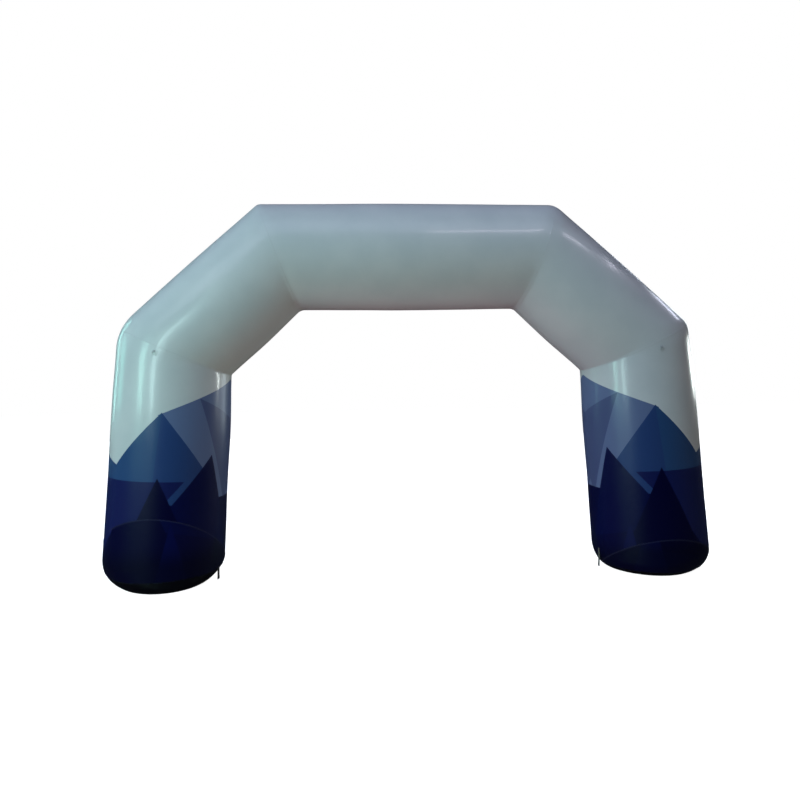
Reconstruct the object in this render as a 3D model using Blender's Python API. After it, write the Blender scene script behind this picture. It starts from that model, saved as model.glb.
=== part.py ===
"""Inflatable archway: five air-filled tubes of coated cloth, mitred into one span, on two flat-ended feet.

X runs along the span, Y through the passage with the front face at -Y, and Z is up.
The origin is on the ground, midway between the feet and on the tubes' centre plane.
Sizes are in metres and angles in degrees.
"""

import math

import bmesh
import bpy
from mathutils import Vector

for old in list(bpy.data.objects):
    bpy.data.objects.remove(old, do_unlink=True)

# The span: where the tubes' centrelines meet, on each side of the middle.
TUBE_RADIUS = 0.498
FOOT_X = 2.155
KNEE_X = 2.132
KNEE_Z = 1.960
CROWN_X = 1.210
CROWN_Z = 2.836

# Air pressure swells each tube by this much halfway along, and by nothing at its seams. A leg keeps
# straight below LEG_SWELL_FROM.
SWELL = 0.007
LEG_SWELL_FROM = 0.650

# The two sides. outer and inner are the radii on which the cloth turns the corner, outside and inside
# the span, at the knee and at the crown. base_seam is the height of the seam between the printed tube
# and its dark end. A foot's rim rolls in by rim_inset to the flat, from rim_height, and around the facing
# of each of its lifts it does so by inset more, from height higher. The foot panel's top edge runs at
# panel_low + panel_rise * cos(facing).
# Facing is 0 straight ahead and grows towards +X.
SIDES = [
    {"name": "left", "side": -1, "knee_outer": 0.400, "knee_inner": 0.015, "crown_outer": 0.060,
     "crown_inner": 0.090, "base_seam": 0.100, "rim_height": 0.040, "rim_inset": 0.040,
     "lifts": [{"facing": -54, "height": 0.208, "inset": 0.130},
               {"facing": 99, "height": 0.131, "inset": 0.155}],
     "panel_low": 0.236, "panel_rise": 0.348},
    {"name": "right", "side": 1, "knee_outer": 0.135, "knee_inner": 0.015, "crown_outer": 0.150,
     "crown_inner": 0.090, "base_seam": 0.045, "rim_height": 0.103, "rim_inset": 0.100,
     "lifts": [{"facing": 51, "height": 0.109, "inset": 0.077},
               {"facing": -114, "height": 0.087, "inset": 0.020}],
     "panel_low": 0.000, "panel_rise": 0.313},
]
LIFT_FOCUS = 3
BEND_FOCUS = 1.5
PANEL_CLOTH = 0.0015

# Tether points high on the legs, left and right: a round patch, a webbing loop sewn to it, and a D-ring in
# the loop. The loop's outer layer parts from the inner one STRAP_PARTS_AT above the ring's bar, and is
# furthest from it STRAP_WIDEST_AT above the bar.
TETHERS = [
    {"facing": -3.6, "height": 1.919},
    {"facing": 5.1, "height": 1.910},
]
PATCH_RADIUS = 0.030
PATCH_CLOTH = 0.0012
STRAP_WIDTH = 0.022
STRAP_CLOTH = 0.0015
STRAP_RISE = 0.016
STRAP_PARTS_AT = 0.011
STRAP_WIDEST_AT = 0.005
RING_WIRE = 0.004
RING_INNER_WIDTH = 0.025
RING_SIDE = 0.003
RING_CORNER = 0.003
BAR_ABOVE_PATCH_CENTRE = 0.004

# Anchor tails, left and right: webbing whose upper end is sewn to the foot, TAIL_SEWN long from height
# down, and which hangs from there to a doubled tip just off the ground. The left one is sewn over the foot
# panel. reach is how far the tip hangs from the middle of the foot, TAIL_FALL the shares of the drop at
# which the webbing is bent, and the doubled part runs TAIL_TIP_OUT and drops TAIL_TIP_DOWN.
TAILS = [
    {"facing": 77, "height": 0.115, "reach": 0.500, "width": 0.038, "finish": "black webbing",
     "on_panel": True},
    {"facing": -81, "height": 0.165, "reach": 0.510, "width": 0.025, "finish": "grey webbing",
     "on_panel": False},
]
TAIL_CLOTH = 0.002
TAIL_SEWN = 0.012
TAIL_FALL = (0.35, 0.70)
TAIL_TIP_HEIGHT = 0.012
TAIL_TIP_OUT = 0.001
TAIL_TIP_DOWN = 0.014

# How close neighbouring pieces lie, and how close a panel or patch lies on the rounded wall under it.
GAP = 0.0003
WALL_GAP = 0.0006

# Fineness of the meshes.
AROUND = 40
BEND_STEPS = 4
STRAIGHT_STEPS = 4
RIM_STEPS = 6
FOOT_TOP = 0.260
FOOT_SHARES = (0, 0.12, 0.27, 0.46, 0.70, 1)
PATCH_COLUMNS = 13
LOOP_STEPS = 6
RING_CORNER_STEPS = 3
RING_BOW_STEPS = 12
WIRE_SIDES = 8

FINISHES = {
    "white skin": {"colour": (0.42, 0.52, 0.54), "roughness": 0.30, "metallic": 0.0},
    "printed skin": {"colour": (0.020, 0.045, 0.150), "roughness": 0.30, "metallic": 0.0},
    "dark base": {"colour": (0.006, 0.008, 0.022), "roughness": 0.45, "metallic": 0.0},
    "white webbing": {"colour": (0.420, 0.480, 0.490), "roughness": 0.80, "metallic": 0.0},
    "black webbing": {"colour": (0.020, 0.022, 0.024), "roughness": 0.80, "metallic": 0.0},
    "grey webbing": {"colour": (0.090, 0.110, 0.090), "roughness": 0.80, "metallic": 0.0},
    "steel": {"colour": (0.300, 0.310, 0.330), "roughness": 0.35, "metallic": 1.0},
}
SMOOTH_BELOW = 30


def finish_material(name, finish):
    """A Principled material in one of the finishes, under its piece's own name."""
    material = bpy.data.materials.new(name)
    material.use_nodes = True
    shader = material.node_tree.nodes["Principled BSDF"]
    shader.inputs["Base Color"].default_value = (*FINISHES[finish]["colour"], 1.0)
    shader.inputs["Roughness"].default_value = FINISHES[finish]["roughness"]
    shader.inputs["Metallic"].default_value = FINISHES[finish]["metallic"]
    return material


def loft(name, rings, finish, closed=False):
    """One solid through rings of points, with a flat face over each end unless the loft closes on itself.

    Every side is split along the same diagonal, so that a skin over a wall folds just where the wall does.
    """
    mesh = bpy.data.meshes.new(name)
    bm = bmesh.new()
    made = [[bm.verts.new(point) for point in ring] for ring in rings]
    count = len(made[0])
    follow = made[1:] + made[:1] if closed else made[1:]
    for ring, after in zip(made, follow):
        for i in range(count):
            j = (i + 1) % count
            bm.faces.new((ring[i], ring[j], after[j], after[i]))
    bmesh.ops.triangulate(bm, faces=bm.faces, quad_method="FIXED")
    if not closed:
        bm.faces.new(made[0])
        bm.faces.new(made[-1])
    bmesh.ops.recalc_face_normals(bm, faces=bm.faces)
    bm.to_mesh(mesh)
    bm.free()
    mesh.shade_smooth()
    mesh.set_sharp_from_angle(angle=math.radians(SMOOTH_BELOW))
    mesh.materials.append(finish_material(name, finish))
    piece = bpy.data.objects.new(name, mesh)
    bpy.context.collection.objects.link(piece)
    return piece


class Mitre:
    """A tube's mitred end: half the angle of the corner, and how softly the cloth turns there."""

    def __init__(self, half_turn, outer, inner):
        self.half_turn = half_turn
        self.outer = outer
        self.inner = inner

    def radius(self, angle):
        outside = (1 + math.cos(angle)) / 2
        return self.inner + (self.outer - self.inner) * outside**BEND_FOCUS

    def bend(self, angle):
        """How far past the corner point the cloth starts to turn."""
        return (TUBE_RADIUS * math.cos(angle) - self.radius(angle)) * math.tan(self.half_turn)

    def rim(self, angle):
        """How far past the corner point the seam lies."""
        return self.bend(angle) + self.radius(angle) * math.sin(self.half_turn)

    def draw_in(self, angle, past):
        """How far the cloth has turned in towards the passage, at a distance past the bend's start."""
        if past <= 0:
            return 0.0
        radius = self.radius(angle)
        return radius - math.sqrt(max(radius**2 - past**2, 0.0))


class Tube:
    """An inflated tube along a straight centreline, with a mitre at its far end and perhaps its near end.

    A place on its cloth is an angle round it, 0 facing out of the span and a quarter turn the front, and
    a travel along it from the near corner.
    """

    def __init__(self, near, far, near_mitre, far_mitre):
        self.near = Vector((near[0], 0, near[1]))
        reach = Vector((far[0], 0, far[1])) - self.near
        self.length = reach.length
        self.along = reach.normalized()
        self.outward = Vector((-self.along.z, 0, self.along.x))
        passage = Vector((0, 0, KNEE_Z / 2))
        if self.outward.dot(self.near + reach / 2 - passage) < 0:
            self.outward.negate()
        self.near_mitre = near_mitre
        self.far_mitre = far_mitre

    def point(self, angle, travel):
        out = TUBE_RADIUS * math.cos(angle)
        out -= self.far_mitre.draw_in(angle, travel - self.length - self.far_mitre.bend(angle))
        swell_from = LEG_SWELL_FROM
        if self.near_mitre:
            out -= self.near_mitre.draw_in(angle, -self.near_mitre.bend(angle) - travel)
            swell_from = -self.near_mitre.rim(angle)
        share = (travel - swell_from) / (self.length + self.far_mitre.rim(angle) - swell_from)
        swell = SWELL * math.sin(math.pi * min(max(share, 0.0), 1.0)) ** 2
        level = self.outward * (out + swell * math.cos(angle))
        forward = Vector((0, -1, 0)) * (TUBE_RADIUS + swell) * math.sin(angle)
        return self.near + self.along * travel + level + forward

    def upper_ways(self, angle, first):
        """Travels of the rings after first, up to the far seam, kept off it by half a gap."""
        bend = self.length + self.far_mitre.bend(angle)
        ways = [first + (bend - first) * step / STRAIGHT_STEPS for step in range(1, STRAIGHT_STEPS + 1)]
        for step in range(1, BEND_STEPS + 1):
            turn = self.far_mitre.half_turn * step / BEND_STEPS
            ways.append(bend + self.far_mitre.radius(angle) * math.sin(turn))
        ways[-1] -= GAP / 2
        return ways

    def ways(self, angle):
        """The travels of every ring of a tube that is mitred at both ends."""
        bend = self.near_mitre.bend(angle)
        lower = []
        for step in range(BEND_STEPS, -1, -1):
            turn = self.near_mitre.half_turn * step / BEND_STEPS
            lower.append(-bend - self.near_mitre.radius(angle) * math.sin(turn))
        lower[0] += GAP / 2
        return lower + self.upper_ways(angle, lower[-1])


class Leg:
    """A standing tube and its foot. Places on it are given by facing, in degrees, and height."""

    def __init__(self, tube, side):
        self.tube = tube
        self.side = side

    def angle(self, facing):
        return math.radians(90 - self.side["side"] * facing)

    def facing(self, angle):
        return self.side["side"] * (90 - math.degrees(angle))

    def travel(self, angle, height):
        lean = TUBE_RADIUS * math.cos(angle) * self.tube.outward.z
        return (height - lean) / self.tube.along.z

    def away(self, facing):
        """The level direction that the cloth faces."""
        turn = math.radians(facing)
        return Vector((math.sin(turn), -math.cos(turn), 0))

    def rim_inset(self, facing, height):
        """How far the rolled rim lies in from the wall above it: a quarter ellipse down to the flat."""
        rim, inset = self.side["rim_height"], self.side["rim_inset"]
        for lift in self.side["lifts"]:
            share = max(math.cos(math.radians(facing - lift["facing"])), 0.0) ** LIFT_FOCUS
            rim += lift["height"] * share
            inset += lift["inset"] * share
        if height >= rim:
            return 0.0
        return inset * (1 - math.sqrt(max(1 - (1 - height / rim) ** 2, 0.0)))

    def place(self, facing, height, proud=0.0):
        """A point of the wall, or one standing proud of it."""
        angle = self.angle(facing)
        wall = self.tube.point(angle, self.travel(angle, height))
        return wall + self.away(facing) * (proud - self.rim_inset(facing, height))

    def level_ring(self, angles, height):
        return [self.place(self.facing(angle), height) for angle in angles]

    def foot_heights(self):
        """Heights of the rings from the base seam up to FOOT_TOP, closest together over the rolled rim."""
        seam = self.side["base_seam"] + GAP
        return [seam + (FOOT_TOP - seam) * share for share in FOOT_SHARES]


def half_turn(before, corner, after):
    """Half the angle by which the span turns at a corner."""
    first = Vector((corner[0] - before[0], corner[1] - before[1])).normalized()
    second = Vector((after[0] - corner[0], after[1] - corner[1])).normalized()
    return math.acos(first.dot(second)) / 2


def mitred_tube(name, tube, angles):
    ways = [tube.ways(angle) for angle in angles]
    rings = []
    for step in range(len(ways[0])):
        rings.append([tube.point(angle, way[step]) for angle, way in zip(angles, ways)])
    loft(name, rings, "white skin")


def leg_tube(name, leg, angles):
    """The printed tube, from the base seam up to the knee."""
    heights = leg.foot_heights() + [LEG_SWELL_FROM]
    rings = [leg.level_ring(angles, height) for height in heights]
    starts = [leg.travel(angle, LEG_SWELL_FROM) for angle in angles]
    ways = [leg.tube.upper_ways(angle, start) for angle, start in zip(angles, starts)]
    for step in range(len(ways[0])):
        rings.append([leg.tube.point(angle, way[step]) for angle, way in zip(angles, ways)])
    loft(name, rings, "printed skin")


def base(name, leg, angles):
    """The dark end of a foot, from its seam round the rolled rim to the flat that stands on the ground."""
    rings = []
    for step in range(RIM_STEPS + 1):
        height = leg.side["base_seam"] * (1 - math.sin(math.pi / 2 * step / RIM_STEPS))
        rings.append(leg.level_ring(angles, height))
    loft(name, rings, "dark base")


def cut_above(piece, point, normal):
    """Takes away what lies beyond a plane, and closes the cut."""
    bm = bmesh.new()
    bm.from_mesh(piece.data)
    everything = bm.verts[:] + bm.edges[:] + bm.faces[:]
    cut = bmesh.ops.bisect_plane(bm, geom=everything, plane_co=point, plane_no=normal, clear_outer=True)
    edges = [part for part in cut["geom_cut"] if isinstance(part, bmesh.types.BMEdge)]
    bmesh.ops.holes_fill(bm, edges=edges)
    bmesh.ops.recalc_face_normals(bm, faces=bm.faces)
    bm.to_mesh(piece.data)
    bm.free()
    piece.data.set_sharp_from_angle(angle=math.radians(SMOOTH_BELOW))


def foot_panel(name, leg, angles):
    """The D-shaped panel over the front of a foot: a sleeve round the tube, cut off along a sloping plane."""
    heights = leg.foot_heights() + [LEG_SWELL_FROM]
    columns = []
    for angle in angles:
        facing = leg.facing(angle)
        inner = [leg.place(facing, height, WALL_GAP) for height in heights]
        outer = [leg.place(facing, height, WALL_GAP + PANEL_CLOTH) for height in heights]
        columns.append(inner + outer[::-1])
    sleeve = loft(name, columns, "printed skin", closed=True)
    slope = leg.side["panel_rise"] / TUBE_RADIUS
    cut_above(sleeve, Vector((0, 0, leg.side["panel_low"])), Vector((0, slope, 1)).normalized())


def tether_patch(name, leg, row):
    """The round patch, in columns from one edge to the other, each lying on the wall behind it."""
    columns = []
    for column in range(PATCH_COLUMNS):
        turn = math.pi * (column + 0.5) / PATCH_COLUMNS
        facing = row["facing"] - math.degrees(PATCH_RADIUS * math.cos(turn) / TUBE_RADIUS)
        half = PATCH_RADIUS * math.sin(turn)
        low, high = row["height"] - half, row["height"] + half
        inner = [leg.place(facing, height, WALL_GAP) for height in (low, high)]
        outer = [leg.place(facing, height, WALL_GAP + PATCH_CLOTH) for height in (high, low)]
        columns.append(inner + outer)
    loft(name, columns, "white skin")


def ribbon(name, path, depths, width, place, finish):
    """Webbing along a path of (proud, up) points, place turning (sideways, up, proud) into a point."""
    rings = []
    for i, (proud, up) in enumerate(path):
        before, after = path[max(i - 1, 0)], path[min(i + 1, len(path) - 1)]
        run = Vector((after[0] - before[0], after[1] - before[1])).normalized()
        off_proud, off_up = run.y * depths[i] / 2, -run.x * depths[i] / 2
        ring = []
        for across, sign in ((-1, -1), (1, -1), (1, 1), (-1, 1)):
            ring.append(place(across * width / 2, up + sign * off_up, proud + sign * off_proud))
        rings.append(ring)
    loft(name, rings, finish)


def arc(centre, radius, first, last, steps):
    """Points of an arc, both ends included, with its angles in degrees."""
    angles = [math.radians(first + (last - first) * step / steps) for step in range(steps + 1)]
    return [(centre[0] + radius * math.cos(a), centre[1] + radius * math.sin(a)) for a in angles]


def tether_point(name, leg, row):
    """The patch, the webbing loop and the D-ring that hangs in it, its bar across the loop."""
    tether_patch(f"tether_patch_{name}", leg, row)
    away = leg.away(row["facing"])
    level = Vector((-away.y, away.x, 0))
    bar = leg.place(row["facing"], row["height"] + BAR_ABOVE_PATCH_CENTRE)

    def place(sideways, up, proud):
        return bar + level * sideways + Vector((0, 0, up)) + away * proud

    inner_layer = WALL_GAP + PATCH_CLOTH + GAP + STRAP_CLOTH / 2
    loop_radius = STRAP_CLOTH / 2 + GAP + RING_WIRE / 2
    bar_proud = inner_layer + loop_radius
    outer_layer = inner_layer + STRAP_CLOTH + GAP
    path = [(inner_layer, STRAP_RISE)]
    path += arc((bar_proud, 0), loop_radius, 180, 360, LOOP_STEPS)
    path += [(outer_layer + loop_radius, STRAP_WIDEST_AT), (outer_layer, STRAP_PARTS_AT)]
    path += [(outer_layer, STRAP_RISE)]
    ribbon(f"tether_strap_{name}", path, [STRAP_CLOTH] * len(path), STRAP_WIDTH, place, "white webbing")

    bow = (RING_INNER_WIDTH + RING_WIRE) / 2
    corner = bow - RING_CORNER
    line = arc((corner, -RING_CORNER), RING_CORNER, 90, 0, RING_CORNER_STEPS)
    line += arc((0, -RING_CORNER - RING_SIDE), bow, 0, -180, RING_BOW_STEPS)
    line += arc((-corner, -RING_CORNER), RING_CORNER, 180, 90, RING_CORNER_STEPS)
    rings = []
    for i, (sideways, up) in enumerate(line):
        before, after = line[i - 1], line[(i + 1) % len(line)]
        run = Vector((after[0] - before[0], after[1] - before[1])).normalized()
        ring = []
        for step in range(WIRE_SIDES):
            turn = 2 * math.pi * step / WIRE_SIDES
            off = RING_WIRE / 2 * math.cos(turn)
            proud = bar_proud + RING_WIRE / 2 * math.sin(turn)
            ring.append(place(sideways + run.y * off, up - run.x * off, proud))
        rings.append(ring)
    loft(f"tether_ring_{name}", rings, "steel", closed=True)


def anchor_tail(name, leg, row):
    """Webbing sewn to the foot by its upper end, and hanging to just off the ground."""
    away = leg.away(row["facing"])
    level = Vector((-away.y, away.x, 0))
    middle = Vector((leg.tube.near.x, 0, 0))
    skin = WALL_GAP + TAIL_CLOTH / 2
    if row["on_panel"]:
        skin += PANEL_CLOTH + GAP

    def lying(height):
        return ((leg.place(row["facing"], height, skin) - middle).dot(away), height)

    path = [lying(row["height"]), lying(row["height"] - TAIL_SEWN)]
    sewn, tip = path[-1], (row["reach"], TAIL_TIP_HEIGHT)
    for share in TAIL_FALL:
        path.append((sewn[0] + (tip[0] - sewn[0]) * share**2, sewn[1] + (tip[1] - sewn[1]) * share))
    doubled = [(tip[0] - TAIL_TIP_OUT, tip[1] + TAIL_TIP_DOWN), tip]
    depths = [TAIL_CLOTH] * len(path) + [2 * TAIL_CLOTH] * len(doubled)
    path += doubled

    def place(sideways, up, proud):
        return middle + level * sideways + Vector((0, 0, up)) + away * proud

    ribbon(f"anchor_tail_{name}", path, depths, row["width"], place, row["finish"])


def build():
    angles = [2 * math.pi * step / AROUND for step in range(AROUND)]
    knee_turn = half_turn((FOOT_X, 0), (KNEE_X, KNEE_Z), (CROWN_X, CROWN_Z))
    crown_turn = half_turn((KNEE_X, KNEE_Z), (CROWN_X, CROWN_Z), (-CROWN_X, CROWN_Z))
    crown_mitres = []
    for side, tether_row, tail_row in zip(SIDES, TETHERS, TAILS):
        name, sign = side["name"], side["side"]
        knee_mitre = Mitre(knee_turn, side["knee_outer"], side["knee_inner"])
        crown_mitre = Mitre(crown_turn, side["crown_outer"], side["crown_inner"])
        knee, crown = (sign * KNEE_X, KNEE_Z), (sign * CROWN_X, CROWN_Z)
        leg = Leg(Tube((sign * FOOT_X, 0), knee, None, knee_mitre), side)
        base(f"base_{name}", leg, angles)
        leg_tube(f"leg_{name}", leg, angles)
        foot_panel(f"foot_panel_{name}", leg, angles)
        mitred_tube(f"shoulder_{name}", Tube(knee, crown, knee_mitre, crown_mitre), angles)
        tether_point(name, leg, tether_row)
        anchor_tail(name, leg, tail_row)
        crown_mitres.append(crown_mitre)
    beam = Tube((-CROWN_X, CROWN_Z), (CROWN_X, CROWN_Z), *crown_mitres)
    mitred_tube("beam", beam, angles)


build()
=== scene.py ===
"""Inflatable archway of coated cloth: a beam, two shoulders and two printed legs on dark-bottomed feet.

The front of the arch faces -Y, X runs along the span and Z is up. Sizes are in metres.
"""

import math

import bmesh
import bpy
from mathutils import Matrix, Vector
from mathutils.bvhtree import BVHTree


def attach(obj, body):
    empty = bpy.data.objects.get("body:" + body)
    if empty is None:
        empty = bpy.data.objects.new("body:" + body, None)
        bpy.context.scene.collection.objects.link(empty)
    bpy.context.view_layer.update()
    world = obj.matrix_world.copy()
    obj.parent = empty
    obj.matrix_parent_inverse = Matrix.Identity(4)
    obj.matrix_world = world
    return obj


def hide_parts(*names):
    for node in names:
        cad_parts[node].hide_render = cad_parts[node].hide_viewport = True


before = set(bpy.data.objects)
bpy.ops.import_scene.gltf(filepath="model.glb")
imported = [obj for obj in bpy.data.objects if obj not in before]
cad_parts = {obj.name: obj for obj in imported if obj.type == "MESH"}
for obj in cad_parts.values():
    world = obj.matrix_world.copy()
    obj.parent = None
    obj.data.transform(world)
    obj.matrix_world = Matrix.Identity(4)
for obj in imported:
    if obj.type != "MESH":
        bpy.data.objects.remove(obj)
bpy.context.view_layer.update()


# ---- Beam and shoulders ------------------------------------------------------------------------------
# Three of the five air-filled tubes. Each is a length of coated cloth rolled up, felled along its back,
# cut off at a slant and sewn to the next tube, so that the span turns a corner at every seam.

def written(operation, turned=False):
    """An operator of Value, which adds the node that works it out, its terms perhaps turned round."""
    def operator(first, second):
        return first.graph.maths(operation, *((second, first) if turned else (first, second)))
    return operator


class Value:
    """A socket of a node tree. A sum written on it adds the nodes that work it out."""

    def __init__(self, graph, socket):
        self.graph = graph
        self.socket = socket

    def of(self, name):
        """Another output of the same node."""
        return Value(self.graph, self.socket.node.outputs[name])

    def __neg__(self):
        return self.graph.maths("MULTIPLY", self, -1)

    __add__, __radd__ = written("ADD"), written("ADD", turned=True)
    __sub__, __rsub__ = written("SUBTRACT"), written("SUBTRACT", turned=True)
    __mul__ = __rmul__ = written("MULTIPLY")
    __truediv__, __rtruediv__ = written("DIVIDE"), written("DIVIDE", turned=True)
    __pow__ = written("POWER")
    __lt__, __gt__ = written("LESS_THAN"), written("GREATER_THAN")


class Graph:
    """A node tree while it is written, for a shape or for a finish."""

    def __init__(self, tree):
        self.tree = tree

    def node(self, kind, settings=None, values=None):
        """Adds a node: its settings, then its sockets' values or links. Gives its first output."""
        node = self.tree.nodes.new(kind)
        for name, setting in (settings or {}).items():
            if name == "stops":
                for i, (at, colour) in enumerate(setting):
                    stop = node.color_ramp.elements[i] if i < 2 else node.color_ramp.elements.new(at)
                    stop.position, stop.color = at, colour
            else:
                setattr(node, name, setting)
        taken = [socket for socket in node.inputs if socket.enabled]
        for name, value in (values or {}).items():
            socket = taken[name] if isinstance(name, int) else next(s for s in taken if s.name == name)
            if isinstance(value, Value):
                self.tree.links.new(value.socket, socket)
            else:
                socket.default_value = value
        given = [socket for socket in node.outputs if socket.enabled]
        return Value(self, given[0]) if given else None

    def maths(self, operation, *terms):
        """A Math node, or a Vector Math node where a term is a vector."""
        vectors = [t for t in terms if isinstance(t, Value) and t.socket.type == "VECTOR"]
        if not vectors:
            return self.node("ShaderNodeMath", {"operation": operation}, dict(enumerate(terms)))
        if operation == "MULTIPLY":
            number = terms[1] if terms[0] is vectors[0] else terms[0]
            return self.node("ShaderNodeVectorMath", {"operation": "SCALE"}, {0: vectors[0], "Scale": number})
        return self.node("ShaderNodeVectorMath", {"operation": operation}, dict(enumerate(terms)))

    def between(self, low, value, high):
        """The smooth share, from 0 to 1, of the way from low to high."""
        return self.node("ShaderNodeMapRange", {"interpolation_type": "SMOOTHSTEP"},
                         {"Value": value, "From Min": low, "From Max": high})

    def mixed(self, share, first, second):
        """A colour between two: the first where the share is 0, the second where it is 1."""
        a, b = (colour if isinstance(colour, Value) else (*colour, 1.0) for colour in (first, second))
        return self.node("ShaderNodeMix", {"data_type": "RGBA"}, {"Factor": share, "A": a, "B": b})

    def noise(self, place, size, detail=2.0):
        """Soft random patches of about that size."""
        return self.node("ShaderNodeTexNoise", {}, {"Vector": place, "Scale": 1 / size, "Detail": detail})

    def point(self, x=0.0, y=0.0, z=0.0):
        return self.node("ShaderNodeCombineXYZ", {}, {"X": x, "Y": y, "Z": z})

    def parts(self, point):
        """The X, Y and Z of a point, each as an output."""
        return self.node("ShaderNodeSeparateXYZ", {}, {"Vector": point})

    def place(self):
        """The place on the piece."""
        return self.node("ShaderNodeTexCoord").of("Object")

    def cloth(self):
        """The place on the piece's own map, which is in metres: X across the cloth and Y along it."""
        return self.parts(self.node("ShaderNodeUVMap", {"uv_map": "UVMap"}))


def shape_graph(name, *inputs):
    """A new shape tree, its named inputs listed by kind. Gives the tree and its inputs as values."""
    tree = bpy.data.node_groups.new(name, "GeometryNodeTree")
    kinds = [(title, kind) for group in inputs for kind, titles in group.items()
             for title in titles.split(", ")]
    for title, kind in kinds:
        tree.interface.new_socket(title, in_out="INPUT", socket_type=f"NodeSocket{kind}")
    tree.interface.new_socket("Geometry", in_out="OUTPUT", socket_type="NodeSocketGeometry")
    graph = Graph(tree)
    given = graph.node("NodeGroupInput")
    return graph, {title: given.of(title) for title, kind in kinds}


def close_graph(graph, *shapes):
    """Ends a tree: each (shape, finish) has its repeats made real and gets its finish."""
    joined = graph.node("GeometryNodeJoinGeometry")
    for shape, finish in reversed(shapes):
        real = graph.node("GeometryNodeRealizeInstances", {}, {"Geometry": shape})
        dressed = graph.node("GeometryNodeSetMaterial", {}, {"Geometry": real, "Material": finish})
        graph.tree.links.new(dressed.socket, joined.socket.node.inputs[0])
    graph.node("NodeGroupOutput", {}, {"Geometry": joined})


def settle(piece, modifier):
    """Makes what a modifier gives the piece's own plain mesh, and removes the modifier."""
    depsgraph = bpy.context.evaluated_depsgraph_get()
    mesh = bpy.data.meshes.new_from_object(
        piece.evaluated_get(depsgraph), preserve_all_data_layers=True, depsgraph=depsgraph)
    piece.modifiers.remove(modifier)
    piece.data = mesh


def made(name, graph, sizes, path=None):
    """The piece that a shape tree gives with these sizes, and perhaps along a path."""
    bare = path or bpy.data.meshes.new(name)
    piece = bpy.data.objects.new(name, bare)
    bpy.context.collection.objects.link(piece)
    modifier = piece.modifiers.new("shape", "NODES")
    modifier.node_group = graph.tree
    for socket in graph.tree.interface.items_tree:
        if socket.in_out == "INPUT" and socket.name in sizes:
            modifier[socket.identifier] = sizes[socket.name]
    settle(piece, modifier)
    bpy.data.meshes.remove(bare)
    piece.data.name = name
    return piece


# Where the tubes' centrelines meet, and how softly the cloth turns each corner on its outer and inner side.
TUBE_RADIUS = 0.498
FOOT_X = 2.155
KNEE = (2.132, 1.960)
CROWN = (1.210, 2.836)
CORNERS = {
    "left": {"side": -1, "knee": (0.400, 0.015), "crown": (0.060, 0.090)},
    "right": {"side": 1, "knee": (0.135, 0.015), "crown": (0.150, 0.090)},
}
BEND_FOCUS, FRONT_BEND = 1.5, 0.26
FRONT_BEND_NONE, FRONT_BEND_FULL = -0.6, 0.2
SWELL = 0.007
INNER_PUCKERS = 1.6
FELL_EDGE = 1.3
TUBE_WELD = 0.00001
BACK = -math.pi / 2

TUBE_INPUTS = {
    "Vector": "Corner, Along, Outward, Level outward", "Material": "Finish",
    "Float": "Length, Radius, Bend focus, Front bend, Near turn, Near outer bend, Near inner bend, "
             "Far turn, Far outer bend, Far inner bend, Swell, Swell from, Near seed, Far seed, "
             "Rim height, Rim inset, Lift focus, Outer lift angle, Outer lift height, Outer lift inset, "
             "Inner lift angle, Inner lift height, Inner lift inset, Fell width, Fell rise, Back fell, "
             "Pucker, Pucker size, Pucker reach, Slack, Slack size, Cloth from",
}


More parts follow.
